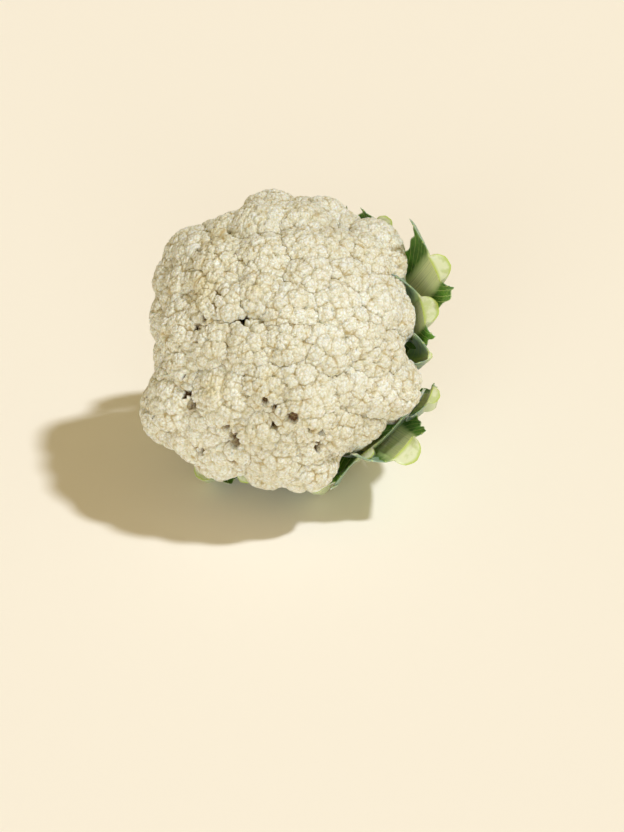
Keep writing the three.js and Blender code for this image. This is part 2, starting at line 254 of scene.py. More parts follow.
# Three sizes of knob, each growing on the one before: spacing, how far its edge drops below its
# top, uneven lift, depth of the crack between two, all in mm, and how far it strays from an even
# spiral, in steps. The field holds the distance to the creases between them.
knobSizes = [
    {"field": "lobeCrease", "spacing": 11, "drop": 0.62, "lift": 0.35, "crack": 0.3, "stray": 0.9},
    {"field": "knobCrease", "spacing": 4.8, "drop": 0.27, "lift": 0.13, "crack": 0.06,
     "stray": 0.85},
    {"field": "grainCrease", "spacing": 2.2, "drop": 0.25, "lift": 0.08, "crack": 0, "stray": 0.75},
]


def envelopeAt(polar, azimuth):
    # A point on the half ellipsoid of the curd and the direction straight out of it.
    polar, azimuth = math.radians(polar), math.radians(azimuth)
    axial = head["under"] if polar > math.pi / 2 else head["crown"]
    half = np.array([head["side"], head["height"], axial])
    unit = np.array([
        math.sin(polar) * math.sin(azimuth),
        math.sin(polar) * math.cos(azimuth),
        math.cos(polar),
    ])
    normal = unit / half
    return unit * half, normal / np.linalg.norm(normal)


def uprightTurn(normal):  # the turn that takes +z to a direction
    return np.array(Vector((0, 0, 1)).rotation_difference(Vector(normal)).to_matrix())


def placeFlorets():  # centre, radius and outward direction of each floret's dome
    domes = []
    for polar, azimuth, half, *stand in floretPlaces + tuckedPlaces:
        point, normal = envelopeAt(polar, azimuth)
        rise = (stand[0] if stand else 0) + half * (curd["domeLift"] - curd["domeRadius"])
        domes.append({"centre": point + normal * rise, "radius": half * curd["domeRadius"],
                      "turn": uprightTurn(normal), "rim": polar > curd["rimFrom"]})
    return domes


def strayPoints(count, capCosine, stray, random):
    # Golden-angle spiral over a cap: equal steps of 1 - cos(lean), each point moved on the cap by
    # up to stray half steps each way.
    step = (np.arange(count) + 0.5) / count
    spacing = math.sqrt((1 - capCosine) * 2 * math.pi / count)
    lean = np.arccos(1 - step * (1 - capCosine))
    spin = np.arange(count) * math.pi * (3 - math.sqrt(5))
    even = directionsAt(lean, spin)
    moved = even + (random.random((count, 3)) - 0.5) * stray * spacing
    return (moved / np.linalg.norm(moved, axis=1, keepdims=True)).astype(np.float32)


def capDirections(steps, capCosines):
    # A square grid pressed onto a disc by concentric rings, then onto a cap: cos(lean) =
    # 1 - r^2 (1 - capCosine), with the cap's edge further out where more of it shows.
    line = np.linspace(-1, 1, steps)
    a, b = np.meshgrid(line, line, indexing="ij")
    radius = np.maximum(np.abs(a), np.abs(b))
    wide = np.abs(a) > np.abs(b)
    safeA = np.where(a == 0, 1e-9, a)
    safeB = np.where(b == 0, 1e-9, b)
    spin = np.where(wide, math.pi / 4 * b / safeA + (a < 0) * math.pi,
                    math.pi / 2 - math.pi / 4 * a / safeB + (b < 0) * math.pi)
    spins = np.linspace(0, 2 * math.pi, len(capCosines), endpoint=False)
    edge = np.interp(spin, spins, capCosines, period=2 * math.pi)
    lean = np.arccos(1 - radius ** 2 * (1 - edge))
    return directionsAt(lean, spin).reshape(-1, 3).astype(np.float32)


def growKnobs(dome, random):
    # The knobs of each size on a dome: unit directions, lifts, and which larger knob each grows on.
    dome["knobs"] = []
    area = 2 * math.pi * dome["radius"] ** 2 * (1 - dome["capCosine"])
    coarser = 1 + (random.random() - 0.5) * 2 * curd["knobVariety"]
    for size in knobSizes:
        size = dict(size, spacing=size["spacing"] * coarser)
        count = max(5, round(area / (0.87 * size["spacing"] ** 2)))
        at = strayPoints(count, dome["capCosine"], size["stray"], random)
        lift = ((random.random(count) - 0.5) * 2 * size["lift"]).astype(np.float32)
        if dome["knobs"]:
            parent = np.argmax(ownRelief(dome, dome["knobs"][-1], at)[0], axis=1)
        else:
            parent = np.zeros(count, int)
        dome["knobs"].append({"at": at, "lift": lift, "parent": parent, "size": size})


def ownRelief(dome, knobs, directions):
    # Each knob is a round-shouldered mound: lift - drop * (0.6 c^2 + 0.4 c^4), where c is the chord
    # from its middle over half the spacing. The second result is c^2.
    perHalfSpacing = 2 * dome["radius"] / knobs["size"]["spacing"]
    squared = 2 * (1 - directions @ knobs["at"].T) * perHalfSpacing ** 2
    return knobs["lift"] - knobs["size"]["drop"] * (0.6 * squared + 0.4 * squared ** 2), squared


def knobRelief(dome, directions, sizes):
    # A finer knob adds its own mound to its parent's, and the surface is the highest at each point.
    # The gap between the highest and the next one, over the sum of their slopes 4 drop / spacing *
    # (0.6 c + 0.8 c^3), is the distance in mm to the crease, where a narrow crack is pressed in.
    total = np.zeros((len(directions), 1), np.float32)
    cracks, creases = 0, []
    for knobs in dome["knobs"][:sizes]:
        own, squared = ownRelief(dome, knobs, directions)
        total = total[:, knobs["parent"]] + own
        highest = np.argpartition(total, -2, axis=1)[:, -2:]
        top = np.take_along_axis(total, highest, 1)
        far = np.sqrt(np.maximum(np.take_along_axis(squared, highest, 1), 0.01))
        size = knobs["size"]
        slopes = 4 * size["drop"] / size["spacing"] * (0.6 * far + 0.8 * far ** 3).sum(1)
        crease = np.abs(top[:, 1] - top[:, 0]) / slopes
        cracks = cracks + size["crack"] * np.exp(-(crease / 0.5) ** 2)
        creases.append(crease)
    return top.max(1) - cracks, creases


def findReach(index, domes):
    # In each direction round a floret, the widest lean at which its bare dome still comes out of
    # its neighbours and the core, as a cosine, with a little to spare.
    dome = domes[index]
    coreRadius, depth, spare = curd["buried"]
    lean = np.radians(np.arange(14, 122, 3))[:, None]
    spin = np.radians(np.arange(0, 360, 12))[None, :]
    local = directionsAt(lean, spin)
    points = dome["centre"] + (local @ dome["turn"].T) * dome["radius"]
    buried = np.linalg.norm(points - [0, 0, core["middle"]], axis=-1) < coreRadius
    for other in domes:
        if other is not dome:
            buried |= np.linalg.norm(points - other["centre"], axis=-1) < other["radius"] - depth
    rows = len(lean) - 1 - np.argmax(~buried[::-1], axis=0)
    widest = np.where(buried.all(axis=0), lean[0, 0], lean[rows, 0])
    widest = np.maximum(widest, np.maximum(np.roll(widest, 1), np.roll(widest, -1)) - 0.1)
    return np.cos(np.minimum(widest + math.radians(spare), math.radians(120)))


def nearNeighbours(index, domes, surface):
    # For each point, how far it lies inside the nearest and the second nearest other floret,
    # negative outside: that floret's lobed radius in the point's direction less its distance. The
    # third result is how open the cleft to the nearest one is.
    dome = domes[index]
    found = np.full((len(surface), 2), -99.0)
    openness = np.zeros(len(surface))
    for number, other in enumerate(domes):
        apart = np.linalg.norm(other["centre"] - dome["centre"])
        if number == index or apart > other["radius"] + dome["radius"] + curd["near"]:
            continue
        away = surface - other["centre"]
        distance = np.linalg.norm(away, axis=1)
        local = (away / distance[:, None]) @ other["turn"]
        relief = knobRelief(other, local.astype(np.float32), 1)[0]
        inside = other["radius"] + relief - distance
        closer = inside > found[:, 0]
        pair = min(number, index) * 131 + max(number, index) * 17  # the same from both sides
        openness = np.where(closer, (0.5 + 0.5 * math.sin(pair)) ** 2, openness)
        found[:, 1] = np.where(closer, found[:, 0], np.maximum(inside, found[:, 1]))
        found[:, 0] = np.maximum(inside, found[:, 0])
    return found[:, 0], found[:, 1], openness


def nearSpots(spots, surface):
    # For each point, exp(-(d / reach)^2) for the spot that is nearest in its own reach. The second
    # result is the half width h (1 - (d / (h + hole reach))^2) of the widest hole there.
    found = np.zeros((2, len(surface)))
    for polar, azimuth, reach, *hole in spots:
        place = envelopeAt(polar, azimuth)[0]
        away = surface - place
        away = away - (away @ place / (place @ place))[:, None] * place
        distance = np.linalg.norm(away, axis=1)
        ahead = surface @ place > 0
        found[0] = np.maximum(found[0], ahead * np.exp(-(distance / reach) ** 2))
        if hole:
            half = hole[0] * (1 - (distance / (hole[0] + curd["holeReach"])) ** 2)
            found[1] = np.maximum(found[1], ahead * half)
    return found


def makeFloret(index, domes):
    # Points run out from the dome's centre to radius + knob relief. Where a neighbour is less than
    # the pressed height p below, the surface rises by p/4 (1 - gap/p)^2, as in a smooth union, and
    # a cleft of depth * exp(-(gap / half width)^2) is left between the two. A hole is pressed in
    # wherever its half width is more than the distance to the nearest crease.
    dome = domes[index]
    area = 2 * math.pi * dome["radius"] ** 2 * (1 - dome["capCosines"].mean())
    steps = round(math.sqrt(area) / curd["vertexSpacing"])
    local = capDirections(steps, dome["capCosines"])
    relief, creases = knobRelief(dome, local, 3)
    directions = local @ dome["turn"].T
    surface = dome["centre"] + directions * (dome["radius"] + relief)[:, None]
    nearest, second, openness = nearNeighbours(index, domes, surface)
    gap = np.maximum(-nearest, 0)
    pressed = curd["pressed"]
    fill = pressed / 4 * np.maximum(1 - gap / pressed, 0) ** 2
    depth, width = curd["cleft"]
    shut, opening = curd["openCleft"]
    cleft = np.exp(-(gap / width) ** 2)
    corner = cleft * np.exp(-(np.minimum(second, 0) / (1.5 * width)) ** 2)
    nearOpen, holeHalf = nearSpots(openClefts, surface)
    apart = np.minimum(np.minimum(gap, creases[0]), creases[1] + curd["holeSpare"])
    hole = smoothStep(holeHalf - apart, 0, 0.5)
    yellow = nearSpots(yellowPatches, surface)[0]
    openness = np.maximum(curd["closed"] * openness, nearOpen)
    dip = depth * cleft * (shut + opening * openness) + curd["corner"] * corner * openness
    dip = dip + curd["hole"] * hole
    surface = surface + directions * (fill - dip)[:, None]
    line = np.arange(steps - 1)
    rim = np.concatenate([
        line * steps,
        (steps - 1) * steps + line,
        (steps - 1 - line) * steps + steps - 1,
        steps - 1 - line,
    ])
    points, faces = [surface], [gridFaces(steps, steps)]
    inwards, rootHeight = curd["root"]
    root = dome["centre"] * [inwards, inwards, 0] + [0, 0, rootHeight]
    ring, offset = rim, len(surface)
    if dome["rim"]:
        edge = surface[rim]
        middle = edge.mean(0)
        narrow, narrowed = curd["stalkWidth"]
        for t in curd["stalkRings"]:
            width = 1 + (narrow - 1) * smoothStep(t, 0, narrowed)
            points.append(middle + (root - middle) * t + (edge - middle) * width)
            newRing = offset + np.arange(len(rim))
            faces.append(np.stack([np.roll(ring, -1), ring, newRing, np.roll(newRing, -1)], 1))
            ring, offset = newRing, offset + len(rim)
    points.append(root[None])
    faces.append(np.stack([np.roll(ring, -1), ring, np.full(len(ring), offset)], 1))
    # The cleft and corner fields steer the material's ochre and dark brown, partly painted shade.
    fields = {  # on the dome, and on the stalk and at the root
        "cleft": [cleft * (0.4 + 0.6 * openness), 0],
        "corner": [np.maximum(hole, (cleft + corner) / 2 * openness), 0],
        "yellow": [yellow, 0],
        "stalk": [np.zeros(len(surface)), 1],
    }
    for size, crease in zip(knobSizes, creases):
        fields[size["field"]] = [crease, curd["noCrease"]]
    for name, (values, bare) in fields.items():
        fields[name] = np.append(values, np.full(offset + 1 - len(surface), bare))
    return np.vstack(points), faces, fields


def joinParts(parts):  # one set of points, faces and fields out of several
    offset, points, faces, fields = 0, [], [], {}
    for partPoints, partFaces, partFields in parts:
        points.append(partPoints)
        faces += [f + offset for f in partFaces]
        for name, values in partFields.items():
            fields.setdefault(name, []).append(values)
        offset += len(partPoints)
    sides = sorted({f.shape[1] for f in faces})
    faces = [np.concatenate([f for f in faces if f.shape[1] == n]) for n in sides]
    return np.vstack(points), faces, {name: np.concatenate(v) for name, v in fields.items()}


def finishPiece(piece, fields, material, node):
    for name, values in fields.items():
        addAttribute(piece, name, values)
    piece.data.materials.append(material)
    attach(piece, "root")
    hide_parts(node)


def makeCurd(material):
    random = np.random.default_rng(curd["seed"])
    domes = placeFlorets()
    for index, dome in enumerate(domes):
        dome["capCosines"] = findReach(index, domes)
        dome["capCosine"] = dome["capCosines"].min()
        growKnobs(dome, random)
    total = 0
    for group in range(curd["pieces"]):
        points, faces, fields = joinParts(
            [makeFloret(index, domes) for index in range(group, len(domes), curd["pieces"])])
        piece = addMesh("curd_florets_%d" % (group + 1), points, faces)
        finishPiece(piece, fields, material, "curd")
        total += sum(len(f) * (f.shape[1] - 2) for f in faces)
    return total


core = {
    "profile": [[0, 62], [50, 68], [80, 76], [100, 76], [120, 68], [140, 62], [155, 62], [180, 67]],
    "middle": -10,             # height that the profile's distances are taken from, mm
    "ribs": 10,
    "ribDepth": 2.5,
    "ribsRise": [95, 115],     # polar angles over which the ribs rise
    "ribsFade": [145, 165],    # and fade again
    "inset": 1.5,              # how far the profile is kept inside the CAD's, mm
    "flatAt": -65.8,           # height where the stem takes over
    "rings": 90,
    "around": 160,
}


def makeCore(material):
    # A turned body whose distance from its middle follows the profile by polar angle, with ribs
    # depth * cos(count * azimuth) underneath, cut flat where the stem begins.
    rings, around = core["rings"], core["around"]
    polar = np.linspace(0.5, 179.5, rings)[:, None]
    azimuth = np.linspace(0, 2 * math.pi, around, endpoint=False)[None, :]
    profile = np.array(core["profile"])
    under = smoothStep(polar, *core["ribsRise"]) * (1 - smoothStep(polar, *core["ribsFade"]))
    reach = np.interp(polar, profile[:, 0], profile[:, 1]) - core["inset"]
    reach = reach + under * core["ribDepth"] * np.cos(core["ribs"] * azimuth)
    lean = np.radians(polar)
    height = np.maximum(reach * np.cos(lean) + core["middle"], core["flatAt"])
    points = aroundAxis(reach * np.sin(lean), azimuth, height).reshape(-1, 3)
    faces = wrapFaces(rings, around)
    points, caps = closePoles(points, rings, around)
    piece = addMesh("curd_core", points, [caps, faces])
    fields = {size["field"]: np.full(len(points), curd["noCrease"]) for size in knobSizes}
    fields["stalk"] = np.ones(len(points))
    finishPiece(piece, fields, material, "curd")


def wrapFaces(rings, around):  # quads of rings that close on themselves
    start = np.arange(rings - 1)[:, None] * around
    corner = (start + np.arange(around)).ravel()
    beside = (start + np.roll(np.arange(around), -1)).ravel()
    return np.stack([corner, corner + around, beside + around, beside], 1)


def closePoles(points, rings, around):  # a middle point for the first and the last ring, with fans
    first, last = points[:around], points[(rings - 1) * around:]
    count = len(points)
    line = np.arange(around)
    beside = np.roll(line, -1)
    start = np.stack([line, beside, np.full(around, count)], 1)
    end = np.stack([beside + (rings - 1) * around, line + (rings - 1) * around,
                    np.full(around, count + 1)], 1)
    return np.vstack([points, first.mean(0)[None], last.mean(0)[None]]), np.vstack([start, end])


stem = {
    "profile": [[0, -97], [14, -96.7], [20, -97], [22, -95], [21.4, -91], [20.5, -83], [24, -66.3]],
    "top": -62,
    "flutes": [[0.5, 5], [0.25, 13]],  # depth in mm and number, twice
    "cutAt": 95.4,             # depth below the middle where the skin gives way to the cut face
    "rings": 60,
    "around": 96,
}


def makeStem(material):
    # The profile turned round the axis, with a low, uneven fluting: depth * sin(number * azimuth),
    # twice, the finer one twisting by 0.2 radians for each millimetre of height.
    rings, around = stem["rings"], stem["around"]
    profile = np.array(stem["profile"] + [[stem["profile"][-1][0], stem["top"]]], float)
    steps = np.linspace(0, len(profile) - 1, rings)
    line = np.arange(len(profile))
    radius = np.interp(steps, line, profile[:, 0])[:, None]
    height = np.interp(steps, line, profile[:, 1])[:, None]
    azimuth = np.linspace(0, 2 * math.pi, around, endpoint=False)[None, :]
    (wide, wideCount), (fine, fineCount) = stem["flutes"]
    flute = wide * np.sin(wideCount * azimuth + 0.8)
    flute = flute + fine * np.sin(fineCount * azimuth + height * 0.2)
    radius = radius + flute * smoothStep(radius, 6, 18)
    points = aroundAxis(radius, azimuth, height).reshape(-1, 3)[around:]
    points, caps = closePoles(points, rings - 1, around)
    faces = wrapFaces(rings - 1, around)
    piece = addMesh("stem_butt", points, [caps[:, ::-1], faces[:, ::-1]])
    cut = smoothStep(-points[:, 2], stem["cutAt"], stem["cutAt"] + 1)
    finishPiece(piece, {"cut": cut}, material, "stem")


# Leaves, as in the CAD: azimuth, outer or inner seat, radius of the midrib's back where it turns up
# and at the curd's widest part, how much further in it is 48 mm higher, width, and height of the
# cut end. Each blade, left and right, has its width, how far it runs past the cut, how many degrees
# it rolls outwards over its width, how far its top leans outwards, and by what share it narrows.
# The bloom is the share of each blade, from the edge in, whose inner face is waxy too.
leafHeadings = ["at", "seat", "bend", "reach", "lean", "width", "cut", "left", "right", "bloom"]
leafPlaces = [
    [58, "outer", 96, 124, 2, 22, 3, [19, 41, -4, 1, 0], [12, 8, 60, 2, 0]],
    [71, "inner", 85, 108, 14, 22, 0, [30, 30, -5, -10, 0.3], [11, -6, 55, 2, 0], [1, 0]],
    [89, "inner", 84, 102, 16, 5, 0, [14, 15, -30, -9, 0.2], [13, 12, -40, -8, 0.2], [1, 1]],
    [103, "outer", 103, 113, 12, 13, -2, [5, -12, 20, 0, 0], [14, -4, -30, -3, 0], [0, 0.3]],
    [124, "outer", 97, 124, 10, 24, -8, [15, 10, 35, 2, 0.4], [25, 4, -45, -12, 0.1], [0, 0.7]],
    [135, "inner", 92, 99, 14, 11, -5, [48, 6, 6, 5, 0], [27, -5, 30, 2, 0], [0.13, 0]],
    [160, "outer", 97, 103, 12, 20, -23, [9, 4, 10, 0, 0], [14, 8, 15, 0, 0.4]],
    [190, "inner", 87, 102, 12, 13, -22, [17, 3, 15, 0, 0], [12, 5, 60, 2, 0]],
    [208, "outer", 104, 107, 12, 18, -32, [12, 6, 20, 0, 0.4], [9, 2, -15, -2, 0]],
    [239, "inner", 85, 97, 12, 20, -38, [12, 7, 20, 0, 0.4], [12, 4, -10, 0, 0]],
    [262, "outer", 91, 99, 12, 24, -36, [13, 3, 30, 2, 0], [14, 9, 15, 1, 0.4]],
    [290, "inner", 84, 95, 12, 20, -34, [12, 8, -15, -1, 0.4], [12, 3, 35, 1, 0]],
    [314, "outer", 95, 107, 12, 24, -30, [13, 5, 45, 2, 0], [14, 7, 15, 1, 0.3]],
    [340, "inner", 85, 99, 12, 20, -24, [12, 6, 20, 0, 0.3], [12, 5, -15, 0, 0]],
    [8, "outer", 95, 107, 12, 23, -20, [12, 6, 15, 0, 0.3], [15, 23, 10, 6, 0.5]],
    [33, "inner", 92, 111, 8, 14, 0, [14, 3, 5, -1, 0], [12, 2, -20, -2, 0]],
]
leafShape = {
    "outer": [50, -94.5, -50],       # radius and height of a seat, height of the bend
    "inner": [42, -80.5, -40],
    "root": 14,
    "rise": 0.66,                    # how far the back has gone outwards 24 mm below its widest
    "heights": [-20, 4, 28, 52],     # there, at its widest, and at its last two points
    "thickShare": 0.55,              # thickness of the midrib, as a share of its width
    "thickLeast": 0.6,               # and what it has besides, mm
    "ribTaper": [1.12, 0.2],         # its width at the stem and how much of that goes by the cut
    "slant": 0.3,                    # how much lower the cut's inner side is, by its thickness
    "blade": 1.1,                    # thickness of a blade where it leaves the midrib, mm
    "bladeEdge": 0.5,                # and at its edge
    "wave": [1.8, 9],                # depth and turns of the blades' wave
    "frill": [0.8, 31],              # a finer wave at the edge
    "ragged": [0.9, 0.07],           # of the cut edge, mm, and of the blade's width, as a share
    "veinSpacing": 9,                # mm
    "veinHeight": 0.35,
    "flute": 0.28,                   # depth of the flutes along a midrib's back, mm
    "opens": [0.3, 0.75],            # share of the length over which the blades widen
    "narrows": 0.72,                 # from which they narrow
    "leans": 0.5,                    # and from which their tops lean
    "leastWrap": 26,                 # least radius that a leaf is wrapped round, mm
    "rows": 78,
    "ribColumns": 13,
    "bladeColumn": 2.4,              # width of a blade's columns, mm
}


def catmullRom(points, samples):
    # Centripetal Catmull-Rom through the points, with its ends mirrored, sampled evenly in length.
    points = np.array(points, float)
    points = np.vstack([2 * points[0] - points[1], points, 2 * points[-1] - points[-2]])
    found = []
    t = np.linspace(0, 1, 60)[:, None]
    for a, b, c, d in zip(points, points[1:], points[2:], points[3:]):
        u, v, w = [math.sqrt(np.linalg.norm(q - p)) for p, q in ((a, b), (b, c), (c, d))]
        start = ((b - a) / u - (c - a) / (u + v) + (c - b) / v) * v
        end = ((c - b) / v - (d - b) / (v + w) + (d - c) / w) * v
        cubic = b + start * t + (3 * (c - b) - 2 * start - end) * t ** 2
        found.append(cubic + (2 * (b - c) + start + end) * t ** 3)
    line = np.vstack(found)
    length = np.append(0, np.cumsum(np.linalg.norm(np.diff(line, axis=0), axis=1)))
    even = np.linspace(0, length[-1], samples)
    return np.stack([np.interp(even, length, line[:, i]) for i in (0, 1)], 1), length[-1]


def leafSheet(leaf, share, wing, rib):
    # The inner and outer surface of a leaf at rows share (0 at the stem, 1 at the cut end) and
    # columns wing (how far out on a blade, signed) and rib (place on the midrib, -1 to 1), and how
    # much of a vein there is. The midrib follows its back's curve. A blade leaves its inner face
    # along the head and rolls at an even rate: at a share u of its width w, with x = roll * u, it
    # has gone w sin(x) / roll along the head and w (1 - cos(x)) / roll outwards.
    shape = leafShape
    seatRadius, seatHeight, bendHeight = shape[leaf["seat"]]
    bend, reach = leaf["bend"], leaf["reach"]
    low, widest, high, top = shape["heights"]
    line, length = catmullRom([
        [shape["root"], seatHeight], [seatRadius, seatHeight], [bend, bendHeight],
        [bend + (reach - bend) * shape["rise"], low], [reach, widest],
        [reach - leaf["lean"] * 0.2, high], [reach - leaf["lean"], top],
    ], 600)
    steps = np.linspace(0, 1, len(line))
    rising = steps > 0.3
    end = np.interp(leaf["cut"], line[rising, 1], steps[rising])
    slope = np.gradient(line, axis=0)
    slope = slope / np.linalg.norm(slope, axis=1, keepdims=True)
    width, past, roll, lean, narrow = [
        np.where(wing > 0, right, left) for left, right in zip(leaf["left"], leaf["right"])]
    u = np.abs(wing)
    phase = leaf["at"]
    opened = smoothStep(share, *shape["opens"])
    ragged, torn = shape["ragged"]
    jags = np.sin(17 * wing + phase) + np.sin(41 * wing + 2 * phase)
    past = (past * u + ragged * u * jags) / length
    thick = leaf["width"] * shape["thickShare"] + shape["thickLeast"]
    thick = thick * (0.85 + 0.15 * np.sin(math.pi * share))
    slant = shape["slant"] * thick / length * (1 - u) ** 2
    startWidth, taper = shape["ribTaper"]
    halfRib = leaf["width"] / 2 * (startWidth - taper * share)
    pointed = 1 - narrow * smoothStep(share, shape["narrows"], 1)
    tear = 1 + torn * (np.sin(29 * share + phase) + np.sin(67 * share + 3 * phase)) * opened
    width = (0.9 + (width * tear - 0.9) * opened) * pointed
    x = np.radians(roll) * opened * share * u
    across = width * u * np.sinc(x / math.pi)
    out = width * u * x / 2 * np.sinc(x / 2 / math.pi) ** 2
    waveDepth, waveTurns = shape["wave"]
    frillDepth, frillTurns = shape["frill"]
    wave = u * opened * waveDepth * np.sin(waveTurns * share + phase + 2 * wing)
    wave = wave + u ** 2 * opened * frillDepth * np.sin(frillTurns * share + 3 * phase + wing)
    wave = wave + lean * u * smoothStep(share, shape["leans"], 1)
    bladeThick = shape["blade"] + (shape["bladeEdge"] - shape["blade"]) * u
    hollow = (thick - shape["blade"]) * (1 - np.sqrt(1 - np.minimum(rib ** 2, 1)))
    place = (share * length * end - 1.1 * width * u) / shape["veinSpacing"] + phase
    vein = np.exp(-((place - np.round(place)) / 0.12) ** 2) * opened * (u > 0) * (1 - 0.6 * u)
    flute = shape["flute"] * np.sin(17 * rib + 3 * np.sin(4 * share + phase)) * np.cos(1.5 * rib)
    surfaces = []
    for outside in (False, True):
        along = end * share + past * share ** 3
        if outside:
            onBlade = bladeThick + shape["veinHeight"] * vein
            onBack = -hollow + flute
            depth = np.where(u == 0, onBack, -thick + wave + out + np.cos(x) * onBlade)
        else:
            onBlade = -0.5 * shape["veinHeight"] * vein
            depth = -thick + wave + out + np.cos(x) * onBlade
            along = along - slant * share ** 6
        along = np.clip(along, 0, 1)
        radius, height, run, climb = [
            np.interp(along, steps, values)
            for values in (line[:, 0], line[:, 1], slope[:, 0], slope[:, 1])]
        sideways = rib * halfRib + np.sign(wing) * (across - np.sin(x) * onBlade)
        angle = math.radians(leaf["at"]) + sideways / np.maximum(radius, shape["leastWrap"])
        surfaces.append(aroundAxis(radius + climb * depth, angle, height - run * depth))
    return surfaces, place


def makeLeaf(number, leaf, material):
    # Rings round the leaf's section, carried along it. At both ends the rings close to the line
    # midway between the two surfaces, which makes the cut face.
    shape = leafShape
    left, right = [
        np.linspace(1, 0, 6 + round(leaf[side][0] / shape["bladeColumn"]), endpoint=False)
        for side in ("left", "right")]
    ribLine = np.sin(np.linspace(-math.pi / 2, math.pi / 2, shape["ribColumns"]))
    wing = np.concatenate([-left, np.zeros(shape["ribColumns"]), right[::-1]])[None, :]
    rib = np.concatenate([-np.ones(len(left)), ribLine, np.ones(len(right))])[None, :]
    share = np.append(np.linspace(0, 0.988, shape["rows"] - 1), 1)[:, None]
    (inner, outer), place = leafSheet(leaf, share, wing, rib)
    rings = np.concatenate([inner, outer[:, ::-1]], 1)
    partner = rings[:, ::-1]
    inwards = np.array([0.02, 0.08, 0.2, 0.35, 0.5])
    closing = [rings[-1] + (partner[-1] - rings[-1]) * t for t in inwards]
    opening = [rings[0] + (partner[0] - rings[0]) * t for t in (0.5, 0.2)]
    around = rings.shape[1]
    stack = np.concatenate([np.array(opening), rings, np.array(closing)])
    count = len(stack)
    piece = addMesh("leaf_%02d_dressed" % number, stack.reshape(-1, 3), [wrapFaces(count, around)])
    rows = np.concatenate([[0, 0], share[:, 0], np.ones(5)])
    place = np.concatenate([place[:1], place[:1], place] + [place[-1:]] * 5)
    bothSides = np.concatenate([wing[0], wing[0, ::-1]])
    onRib = 1 - smoothStep(np.abs(bothSides), 0, 0.12)[None, :]
    uncut = np.zeros(2 + len(share))
    bloomed = np.where(wing[0] > 0, *leaf.get("bloom", [0, 0])[::-1])
    waxy = smoothStep(np.abs(wing[0]), 0.96 - bloomed, 1.04 - bloomed) * (bloomed > 0)
    fields = {
        "wing": bothSides[None, :],
        "rib": np.concatenate([rib[0], rib[0, ::-1]])[None, :],
        "share": rows[:, None],
        "cut": np.concatenate([uncut[1:], [0.4], np.ones(5)])[:, None] * onRib,
        "cutDepth": np.concatenate([uncut, inwards * 2])[:, None] * onRib,
        "outside": np.concatenate([waxy, np.ones(around // 2)])[None, :],
        "veinPlace": np.concatenate([place, place[:, ::-1]], 1),
    }
    for name, values in fields.items():
        fields[name] = np.broadcast_to(values, (count, around)).ravel()
    finishPiece(piece, fields, material, "leaf_%02d" % number)
    weld(piece)
    return count * around * 2


def weld(piece):  # merges the doubles where rings close, and turns every face outwards
    work = bmesh.new()
    work.from_mesh(piece.data)
    bmesh.ops.remove_doubles(work, verts=work.verts, dist=2e-6)
    bmesh.ops.recalc_face_normals(work, faces=work.faces)
    work.to_mesh(piece.data)
    work.free()


def linkInputs(tree, node, links):
    # The links map inputs to (node, output) pairs or to names of a piece's fields.
    for key, source in links.items():
        if isinstance(source, str):
            source = (addNode(tree, "ShaderNodeAttribute", attribute_name=source), "Fac")
        tree.links.new(source[0].outputs[source[1]], node.inputs[key])


def setInputs(node, values):
    for key, value in values.items():
        node.inputs[key].default_value = value


def addNode(tree, kind, links=None, **settings):  # one node, its settings are properties or inputs
    node = tree.nodes.new(kind)
    for key, value in settings.items():
        if hasattr(node, key):
            setattr(node, key, value)
        else:
            node.inputs[key.replace("_", " ")].default_value = value
    linkInputs(tree, node, links or {})
    return node


def newMaterial(name):
    material = bpy.data.materials.new(name)
    material.use_nodes = True
    tree = material.node_tree
    shader = tree.nodes["Principled BSDF"]
    return material, tree, shader


def mixInto(tree, last, tint, source, low, high, most=1.0):
    # Mixes a tint over a colour, by a number that runs from low (none) to high (most).
    amount = addNode(tree, "ShaderNodeMapRange", {"Value": source},
                     From_Min=low, From_Max=high, To_Min=0.0, To_Max=most)
    mix = addNode(tree, "ShaderNodeMix", {"Factor": (amount, "Result"), 6: last}, data_type="RGBA")
    setInputs(mix, {7: toLinear(tint)})
    return mix, 2


def tintByFields(tree, last, rows):  # a mix for each row: field, tint, and mixInto's numbers
    for field, tint, *limits in rows:
        last = mixInto(tree, last, tint, field, *limits)
    return last


def tones(tree, scale, detail, low, high):
    # A noise of a scale per metre, as a colour between two [position, tint] stops.
    place = addNode(tree, "ShaderNodeTexCoord")
    noise = addNode(tree, "ShaderNodeTexNoise", {"Vector": (place, "Object")},
                    Scale=scale, Detail=detail)
    colour = addNode(tree, "ShaderNodeValToRGB", {"Fac": (noise, "Fac")})
    for element, (position, tint) in zip(colour.color_ramp.elements, (low, high)):
        element.position = position
        element.color = toLinear(tint)
    return place, (colour, "Color")


